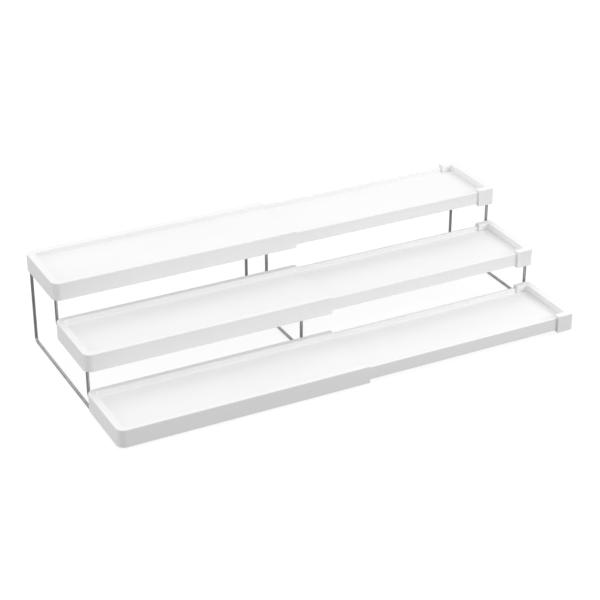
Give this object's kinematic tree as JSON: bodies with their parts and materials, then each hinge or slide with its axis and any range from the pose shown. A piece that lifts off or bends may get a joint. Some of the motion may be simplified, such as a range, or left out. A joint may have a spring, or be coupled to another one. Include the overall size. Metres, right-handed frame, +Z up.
{
  "type": "tiered shelf riser",
  "caption": "Stair-stepped white plastic shelf riser on bent wire frames, with telescoping trays that slide open lengthwise to stand spice jars and bottles in rows.",
  "frame": {"origin": "centre of the footprint, on the surface that the riser stands on, with the riser fully open", "axes": "+X along the shelves towards the sliding end, +Y towards the back and the top tier, +Z up"},
  "size_m": [0.484, 0.231, 0.098],
  "materials": {
    "tray_plastic": "smooth white moulded polypropylene with a soft satin surface",
    "cap_plastic": "smooth white moulded plastic, the same white as the trays",
    "wire": "drawn round steel wire with a soft plated shine"
  },
  "bodies": {
    "fixed_half": {"outer_tray_top": "tray_plastic", "outer_tray_middle": "tray_plastic", "outer_tray_front": "tray_plastic", "left_wire_frame": "wire", "middle_wire_frame": "wire"},
    "sliding_half": {"inner_tray_top": "tray_plastic", "inner_tray_middle": "tray_plastic", "inner_tray_front": "tray_plastic", "end_cap_top": "cap_plastic", "end_cap_middle": "cap_plastic", "end_cap_front": "cap_plastic", "right_wire_frame": "wire"}
  },
  "joints": [
    {"name": "extension_slide", "type": "slide", "parent": "fixed_half", "child": "sliding_half", "axis": [1, 0, 0], "range_m": [-0.2125, 0]}
  ]
}
